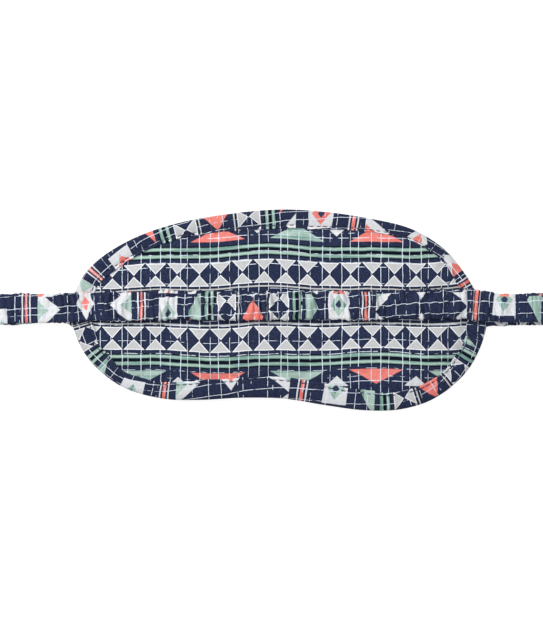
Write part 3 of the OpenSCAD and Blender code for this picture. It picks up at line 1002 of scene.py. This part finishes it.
SEAM_Y_L, SEAM_Y_R = 0.5, -1.0
tack_l = thread_mesh("tack_stitches_left", tack_paths(TIP_L, 1, SEAM_Y_L), 0.15, "strap_tack_left")
tack_r = thread_mesh("tack_stitches_right", tack_paths(TIP_R, -1, SEAM_Y_R), 0.15, "strap_tack_right")


# ----------------------------------------------------------------- strap ----
STRAP_W, STRAP_T = 13.6, 2.0
SEAM_Z, LEG_Z, FOLD_R = 2.4, 1.15, 2.35
FOLD_X = 133 - STRAP_T / 2 - FOLD_R
TOP_Z = LEG_Z + 2 * FOLD_R
RIM_Z = 4.5 + 0.27 + STRAP_T / 2 + 0.3
RUN_Z = CROWN + STRAP_T / 2 + 0.5


def leg(tip, s, y):
    return [[tip - s * 8.5, y, SEAM_Z], [tip - s * 4, y, SEAM_Z],
            [tip + s * 0.5, y, SEAM_Z], [tip + s * 2, y, SEAM_Z - 0.1],
            [tip + s * 5, y, SEAM_Z - 0.5], [tip + s * 9, y, LEG_Z + 0.35],
            [tip + s * 13, y * 0.9 + 0.1, LEG_Z + 0.05]]


def fold(s, y0, y1):
    return [[s * (FOLD_X + FOLD_R * math.sin(math.radians(i * 22.5))),
             y0 + (y1 - y0) * i / 8,
             LEG_Z + FOLD_R * (1 - math.cos(math.radians(i * 22.5)))] for i in range(9)]


def over(tip, s, y):
    return [[tip + s * 8, y[0], max(TOP_Z, RIM_Z) - 0.05], [tip + s * 3, y[1], RIM_Z],
            [tip - s * 4, y[2], RIM_Z + 0.05], [tip - s * 8, y[3], RIM_Z + 0.35],
            [tip - s * 13, y[4], RIM_Z + 1.1], [tip - s * 20, y[5], RUN_Z - 0.25],
            [tip - s * 29, y[6], RUN_Z], [tip - s * 45, y[7], RUN_Z],
            [tip - s * 62, y[8], RUN_Z], [tip - s * 80, y[9], RUN_Z]]


RUN_Y_L = [0.7, 0.9, 1.2, 1.5, 1.7, 1.9, 2, 2.1, 2.1, 2.1]
RUN_Y_R = [1.4, 1.8, 2.2, 2.5, 2.7, 2.8, 2.8, 2.6, 2.3, 2.1]
route = np.array(leg(TIP_L, -1, SEAM_Y_L) + fold(-1, 0.6, 0.6) + over(TIP_L, -1, RUN_Y_L)
                 + [[MASK_X, 2.1, RUN_Z]]
                 + over(TIP_R, 1, RUN_Y_R)[::-1] + fold(1, -0.6, 1)[::-1]
                 + leg(TIP_R, 1, SEAM_Y_R)[::-1])


def open_spline(p, per):
    """Centripetal spline through the points of an open line."""
    q = np.vstack([2 * p[0] - p[1], p, 2 * p[-1] - p[-2]])
    out = []
    for i in range(1, len(q) - 2):
        p0, p1, p2, p3 = q[i - 1], q[i], q[i + 1], q[i + 2]
        t0 = 0.0
        t1 = t0 + np.linalg.norm(p1 - p0) ** 0.5
        t2 = t1 + np.linalg.norm(p2 - p1) ** 0.5
        t3 = t2 + np.linalg.norm(p3 - p2) ** 0.5
        t = np.linspace(t1, t2, per, endpoint=False)[:, None]
        a1 = (t1 - t) / (t1 - t0) * p0 + (t - t0) / (t1 - t0) * p1
        a2 = (t2 - t) / (t2 - t1) * p1 + (t - t1) / (t2 - t1) * p2
        a3 = (t3 - t) / (t3 - t2) * p2 + (t - t2) / (t3 - t2) * p3
        b1 = (t2 - t) / (t2 - t0) * a1 + (t - t0) / (t2 - t0) * a2
        b2 = (t3 - t) / (t3 - t1) * a2 + (t - t1) / (t3 - t1) * a3
        out.append((t2 - t) / (t2 - t1) * b1 + (t - t1) / (t2 - t1) * b2)
    return np.vstack(out + [q[-2][None]])


def resample_open(p, step):
    s = np.concatenate([[0], np.cumsum(np.linalg.norm(np.diff(p, axis=0), axis=1))])
    n = int(round(s[-1] / step)) + 1
    u = np.linspace(0, s[-1], n)
    return np.stack([np.interp(u, s, p[:, k]) for k in range(3)], 1), u


PATH, PS = resample_open(open_spline(route, 30), 0.2)
n_path = len(PATH)
apex_l = int(PATH[:, 0].argmin())
apex_r = int(PATH[:, 0].argmax())
middle = apex_l + int(np.abs(PATH[apex_l:apex_r, 0]).argmin())

PT = np.gradient(PATH, axis=0)
PT /= np.linalg.norm(PT, axis=1)[:, None]
PW = np.array([0, 1.0, 0]) - PT * PT[:, 1:2]
PW /= np.linalg.norm(PW, axis=1)[:, None]
PN = np.cross(PT, PW)

on_run = ((np.arange(n_path) >= apex_l) & (np.arange(n_path) <= apex_r)).astype(float)
# the casing is gathered where it lies on the mask and smoother near its ends
GATHER = 0.44 + 0.56 * on_run * ease(-112, -84, PATH[:, 0]) * ease(118, 96, PATH[:, 0])

NK = 52


def stadium(w, t, n):
    """Points round a flat section with round edges, with their normals."""
    flat = w - t
    arc = math.pi * t / 2
    total = 2 * flat + 2 * arc
    out, nor = [], []
    for i in range(n):
        s = (i + 0.5) / n * total
        if s < flat:
            out.append((flat / 2 - s, t / 2)); nor.append((0, 1))
        elif s < flat + arc:
            a = (s - flat) / arc * math.pi
            out.append((-flat / 2 - t / 2 * math.sin(a), t / 2 * math.cos(a))); nor.append((-math.sin(a), math.cos(a)))
        elif s < 2 * flat + arc:
            q = s - flat - arc
            out.append((-flat / 2 + q, -t / 2)); nor.append((0, -1))
        else:
            a = (s - 2 * flat - arc) / arc * math.pi
            out.append((flat / 2 + t / 2 * math.sin(a), -t / 2 * math.cos(a))); nor.append((math.sin(a), -math.cos(a)))
    return np.array(out), np.array(nor), total


sec, sec_n, sec_len = stadium(STRAP_W, STRAP_T, NK)
cross = sec[:, 0] / (STRAP_W / 2)                       # -1 to 1 over the width


def creases(seed):
    """Deep folds across one face of the casing, between soft puffs."""
    q = np.random.RandomState(seed)
    d = np.zeros((n_path, NK))
    s = PS[apex_l] - 10
    while s < PS[apex_r] + 10:
        s += 4.0 + 7.5 * q.rand()
        depth = 0.40 + 0.45 * q.rand()
        width = 0.50 + 0.35 * q.rand()
        lean, bow = 1.5 * q.randn(), 1.0 * q.randn()
        reach = q.rand()
        if reach < 0.30:
            span = ease(-0.6 + 0.8 * q.rand(), 1.0, cross * 1.05)
        elif reach < 0.60:
            span = ease(-0.6 + 0.8 * q.rand(), 1.0, -cross * 1.05)
        else:
            span = np.full(NK, 0.9)
        where = s + lean * cross + bow * (cross ** 2 - 0.4)
        off = PS[:, None] - where[None, :]
        d -= depth * span[None, :] * np.exp(-(off / width) ** 2)
        d += 0.30 * depth * span[None, :] * np.exp(-((np.abs(off) - 2.3 * width) / (1.3 * width)) ** 2)
    return d


def gather_field(seed, short=5.0, long=9.5, lean=13.0):
    """A rippled field over one face; its zero lines are the valleys of the
    gathers, which fork and fade as they do in a casing on elastic."""
    q = np.random.RandomState(seed)
    n = 11
    lam = short + (long - short) * q.rand(n)
    tilt = np.radians(lean) * q.randn(n)
    ph = TAU * q.rand(n)
    am = 0.6 + 0.4 * q.rand(n)
    am = am / math.sqrt((am ** 2).sum() / 2)
    return sum(k * np.sin(TAU * (PS[:, None] * math.cos(t) + sec[None, :, 0] * math.sin(t)) / l + f)
               for k, t, l, f in zip(am, tilt, lam, ph))


def pleats(field, seed):
    """Rounded ridges with narrow valleys between them."""
    size = ripples(seed, 16.0, n=9)
    bunch = waves(seed + 1, 34.0)
    deep = np.clip(0.72 + 0.30 * size(PS[:, None], 0.7 * sec[None, :, 0])
                   + 0.38 * bunch(PS)[:, None], 0.12, 1.45)
    return deep * (np.abs(field) ** 0.6 - 0.55)


def taken_up(field):
    """Cloth for each millimetre of the route: each valley hides some."""
    w = 0.22
    slope = np.abs(np.gradient(field, axis=0)) / (PS[1] - PS[0])
    hidden = slope * np.exp(-(field / w) ** 2) / (w * math.sqrt(math.pi))
    return 1 + 0.8 * hidden * GATHER[:, None]


fine_d = ripples(54, 4.0)
face_up = (1 + sec_n[:, 1]) / 2
field_up, field_low = gather_field(63), gather_field(66)
slack = gather_field(91, 6.0, 11.0, 24.0)                # broad slanting folds
crease = ((0.6 * creases(61) + 1.20 * pleats(field_up, 65) + 0.36 * slack) * face_up[None, :]
          + (0.4 * creases(62) + 0.40 * pleats(field_low, 68)) * (1 - face_up)[None, :])
scallop = np.abs(np.sin(math.pi * (PS + 0.8 * waves(57, 14)(PS)) / 2.5)) ** 0.7 - 0.65
scallop2 = np.abs(np.sin(math.pi * (PS + 0.8 * waves(58, 14)(PS)) / 2.6)) ** 0.7 - 0.65
edges = (0.38 * scallop[:, None] * (np.clip(cross, 0, 1) ** 4)[None, :]
         + 0.38 * scallop2[:, None] * (np.clip(-cross, 0, 1) ** 4)[None, :])
DISP = (crease + edges + 0.04 * fine_d(PS[:, None], sec[None, :, 0] * 0.6)) * GATHER[:, None]
DISP = np.clip(DISP, -0.34 - 0.36 * (face_up * (1 - cross ** 2))[None, :], 1.25)
# soft cushion between the edges
DISP += (0.12 + 0.30 * GATHER * on_run)[:, None] * ((1 - cross ** 2) * face_up)[None, :]

# The print follows the cloth: it skips what a valley hides and steps a little
# sideways from one ridge to the next.
ds = PS[1] - PS[0]
spent = np.cumsum((taken_up(field_up) * face_up[None, :]
                   + taken_up(field_low) * (1 - face_up)[None, :]) * ds, axis=0)
CLOTH_S = spent.mean(1)
drift = spent - CLOTH_S[:, None]
kern = np.exp(-0.5 * (np.arange(-150, 151) * ds / 8.0) ** 2)
kern /= kern.sum()
slow = np.array([np.convolve(np.pad(drift[:, k], 150, mode="edge"), kern, mode="valid")
                 for k in range(NK)]).T
CLOTH_U = CLOTH_S[:, None] + drift - slow
CLOTH_V = 0.18 * GATHER[:, None] * (np.tanh(field_up / 0.2) * face_up[None, :]
                                    + np.tanh(field_low / 0.2) * (1 - face_up)[None, :])

# it spreads a little at the folds, over the right tip and where it is sewn in
px, leg_l = PATH[:, 0], np.arange(n_path) < apex_l
width_wob = (1 + GATHER * 0.014 * waves(72, 17)(PS) + 0.012 * waves(73, 40)(PS)
             + 0.06 * ease(-112, -124, px) + 0.05 * np.exp(-((px - 100) / 7) ** 2) * on_run
             + 0.20 * leg_l * ease(-99.5, -95.5, px))
side_wob = 0.20 * waves(74, 46)(PS) * ease(0, 20, PS) * ease(PS[-1], PS[-1] - 20, PS)
side_wob = side_wob - 0.4 * leg_l * ease(-99.5, -95.5, px)


# on the mask it lies a little tilted, with its lower edge off the cloth
lying = on_run * ease(-92, -66, px) * ease(98, 72, px)
tilt = np.radians(4.5) * lying * (1 + 0.25 * waves(76, 60)(PS))
lift = 0.28 * lying


def strap_points(base, normal, disp, widen=True):
    w = width_wob if widen else np.ones(n_path)
    y = base[None, :, 0] * w[:, None] + normal[None, :, 0] * disp
    z = base[None, :, 1] + normal[None, :, 1] * disp
    c, t = np.cos(tilt)[:, None], np.sin(tilt)[:, None]
    y, z = y * c + z * t + side_wob[:, None], z * c - y * t + lift[:, None]
    return PATH[:, None, :] + y[..., None] * PW[:, None, :] + z[..., None] * PN[:, None, :]


inner_sec, inner_n, _ = stadium(STRAP_W - 0.9, STRAP_T - 0.8, NK)
OUTER = strap_points(sec, sec_n, DISP)
OUTER[..., 2] = np.maximum(OUTER[..., 2], 0.03)      # flat where it lies on the table
INNER = strap_points(inner_sec, inner_n, np.zeros((n_path, NK)))
el_sec, el_n, _ = stadium(10.5, 0.9, 20)
ELASTIC = strap_points(el_sec, el_n, np.zeros((n_path, 20)), widen=False)

# normals of the whole casing, so that its lengths meet without a line
du = np.gradient(OUTER, axis=0)
dv = (np.roll(OUTER, -1, axis=1) - np.roll(OUTER, 1, axis=1))
OUTER_N = np.cross(dv, du)
OUTER_N /= np.linalg.norm(OUTER_N, axis=2)[..., None]
if np.mean(np.sum(OUTER_N * (OUTER - PATH[:, None, :]), axis=2)) < 0:
    OUTER_N = -OUTER_N

LANE_N = 4


def tube_piece(name, i0, i1):
    """The casing between two places on its route: outside, inside and ends."""
    keep = np.unique(np.append(np.arange(i0, i1 + 1, 5), i1))
    po, pi_ = OUTER[i0:i1 + 1], INNER[keep]
    n, k = len(po), len(pi_)
    b = Builder(["cloth", "OFBake"])
    around = (np.arange(NK + 1) + 0.5) / NK * sec_len

    def cloth(rows_):
        c = np.empty((len(rows_), NK + 1, 2))
        turn = np.arange(NK + 1) % NK
        c[..., 0] = CLOTH_U[rows_][:, turn] / 100
        c[..., 1] = ((around - (STRAP_W - STRAP_T) / 2)[None, :] + CLOTH_V[rows_][:, turn]
                     + 0.04 * CLOTH_S[rows_][:, None]) / 100
        return c

    co, ci = cloth(np.arange(i0, i1 + 1)), cloth(keep)
    fr, fc = grid_faces(n, NK, False, True)
    gr, gc = grid_faces(k, NK, False, True)
    lane = np.minimum(fr[:, 0] * LANE_N // (n - 1), LANE_N - 1)
    first = np.array([np.ceil(q * (n - 1) / LANE_N) for q in range(LANE_N + 1)])
    fu = (fr - first[lane][:, None]) / (first[1:] - first[:-1])[lane][:, None]
    outer_bake = np.stack([0.01 + 0.97 * fu, (lane[:, None] + 0.03 + 0.92 * fc / NK) / (LANE_N + 1)], -1)
    inner_bake = np.stack([0.01 + 0.97 * gr / (k - 1), (LANE_N + 0.05 + 0.80 * gc / NK) / (LANE_N + 1)], -1)
    io = fr * NK + fc % NK
    ii = n * NK + gr * NK + gc % NK
    b.verts = [po.reshape(-1, 3), pi_.reshape(-1, 3)]
    b.count = (n + k) * NK
    b.faces = io.tolist() + ii[:, ::-1].tolist()
    b.uvs = {"cloth": [co[fr, fc].reshape(-1, 2), ci[gr, gc][:, ::-1].reshape(-1, 2)],
             "OFBake": [outer_bake.reshape(-1, 2), inner_bake[:, ::-1].reshape(-1, 2)]}
    for row, inner_row, v_at in ((0, 0, 0.975), (n - 1, k - 1, 0.988)):
        a = row * NK + np.arange(NK)
        c = n * NK + inner_row * NK + np.arange(NK)
        uvr = co[row, :NK]
        low = np.stack([0.01 + 0.97 * np.arange(NK) / NK, np.full(NK, v_at)], 1)
        high = low + [0, 0.006]
        if row == 0:
            b.strip(c, a, {"cloth": uvr, "OFBake": high}, {"cloth": uvr, "OFBake": low})
        else:
            b.strip(a, c, {"cloth": uvr, "OFBake": low}, {"cloth": uvr, "OFBake": high})
    ob = b.build(name)
    me = ob.data
    nor = np.array([v.normal for v in me.vertices])
    nor[:n * NK] = OUTER_N[i0:i1 + 1].reshape(-1, 3)
    me.normals_split_custom_set_from_vertices([tuple(q) for q in nor.tolist()])
    return dress(ob, STRAP_MAT)


def band_piece(name, i0, i1):
    n, k = i1 - i0 + 1, 20
    p = ELASTIC[i0:i1 + 1]
    b = Builder(["cloth"])
    uv = np.zeros((n, k + 1, 2))
    uv[..., 0] = (PS[i0:i1 + 1] / 100)[:, None]
    uv[..., 1] = (np.arange(k + 1) / k)[None, :]
    start = b.grid(p, {"cloth": uv}, wrap_cols=True)
    b.cap(start + np.arange(k - 1, -1, -1), {"cloth": uv[0, :k][::-1]})
    b.cap(start + (n - 1) * k + np.arange(k), {"cloth": uv[-1, :k]})
    return dress(b.build(name), ELASTIC_MAT)


# The strap in four lengths: from each seam to its fold, and from each fold to the middle.
reach_l = 2 * 133 + TIP_L            # from the seam out to the fold and in to X = 0
reach_r = 2 * 133 - TIP_R
LENGTHS = [("leg_left", 0, apex_l, TIP_L, TIP_L - reach_l),
           ("run_left", apex_l, middle, -reach_l, 0.0),
           ("run_right", middle, apex_r, reach_r, 0.0),
           ("leg_right", apex_r, n_path - 1, TIP_R, TIP_R + reach_r)]
strap_pieces = []
for tag, i0, i1, x0, x1 in LENGTHS:
    casing = tube_piece("casing_" + tag, i0, i1)
    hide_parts("strap_casing")
    band = band_piece("elastic_" + tag, i0, i1)
    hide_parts("elastic_band")
    for ob in (casing, band):
        x0 * MM
        x1 * MM
        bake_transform(ob)
        strap_pieces.append(ob)


# ------------------------------------------------------- what carries what ----
for ob in (back_cloth, front_cloth, lining, pad, binding, topstitch_up,
           topstitch_down, tack_l, tack_r):
    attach(ob, "mask")

flat_back = ring_area(RXY[0]) * 1e-6
ring_area(RXY[4]) * 1e-6


# ----------------------------------------------------------------- stage ----
floor_mesh = bpy.data.meshes.new("floor")
q = 60.0
floor_mesh.from_pydata([(-q, -q, -0.00006), (q, -q, -0.00006), (q, q, -0.00006), (-q, q, -0.00006)], [], [(0, 1, 2, 3)])
floor = bpy.data.objects.new("floor", floor_mesh)
scene.collection.objects.link(floor)
fm, ft, fb = principled("pale_floor")
tcf = ft.nodes.new("ShaderNodeTexCoord")
fn = noise(ft, tcf.outputs["Object"], 30.0, 2.0)
ft.links.new(mixed(ft, fn, (0.40, 0.40, 0.40, 1), (0.42, 0.42, 0.42, 1)), fb.inputs["Base Color"])
fb.inputs["Roughness"].default_value = 0.95
fb.inputs["Specular IOR Level"].default_value = 0.0
fb.inputs["Emission Color"].default_value = (1, 1, 1, 1)
fb.inputs["Emission Strength"].default_value = 0.78
floor_mesh.materials.append(fm)

world = bpy.data.worlds.new("studio")
scene.world = world
world.use_nodes = True
world.node_tree.nodes["Background"].inputs["Color"].default_value = (1, 1, 1, 1)
sky_at = world.node_tree.nodes.new("ShaderNodeTexCoord")
sky_z = world.node_tree.nodes.new("ShaderNodeSeparateXYZ")
world.node_tree.links.new(sky_at.outputs["Generated"], sky_z.inputs[0])
overhead = S(world.node_tree, sky_z.outputs[2]).max(0.0) * 0.60 + 0.20
world.node_tree.links.new(overhead.socket, world.node_tree.nodes["Background"].inputs["Strength"])


def area_light(name, loc, size, power):
    d = bpy.data.lights.new(name, "AREA")
    d.shape = "SQUARE"
    d.size = size
    d.energy = power
    o = bpy.data.objects.new(name, d)
    scene.collection.objects.link(o)
    o.location = loc
    o.rotation_euler = (-Vector(loc)).to_track_quat("-Z", "Y").to_euler()
    return o


area_light("key", (-0.55, 0.70, 1.10), 0.3, 10.0)
area_light("side", (-1.20, 0.30, 0.75), 0.3, 5.0)
area_light("fill", (0.9, -0.2, 1.1), 0.9, 1.5)

scene.view_settings.view_transform = "Standard"
scene.view_settings.look = "None"
scene.view_settings.exposure = 0.0
scene.view_settings.gamma = 1.0
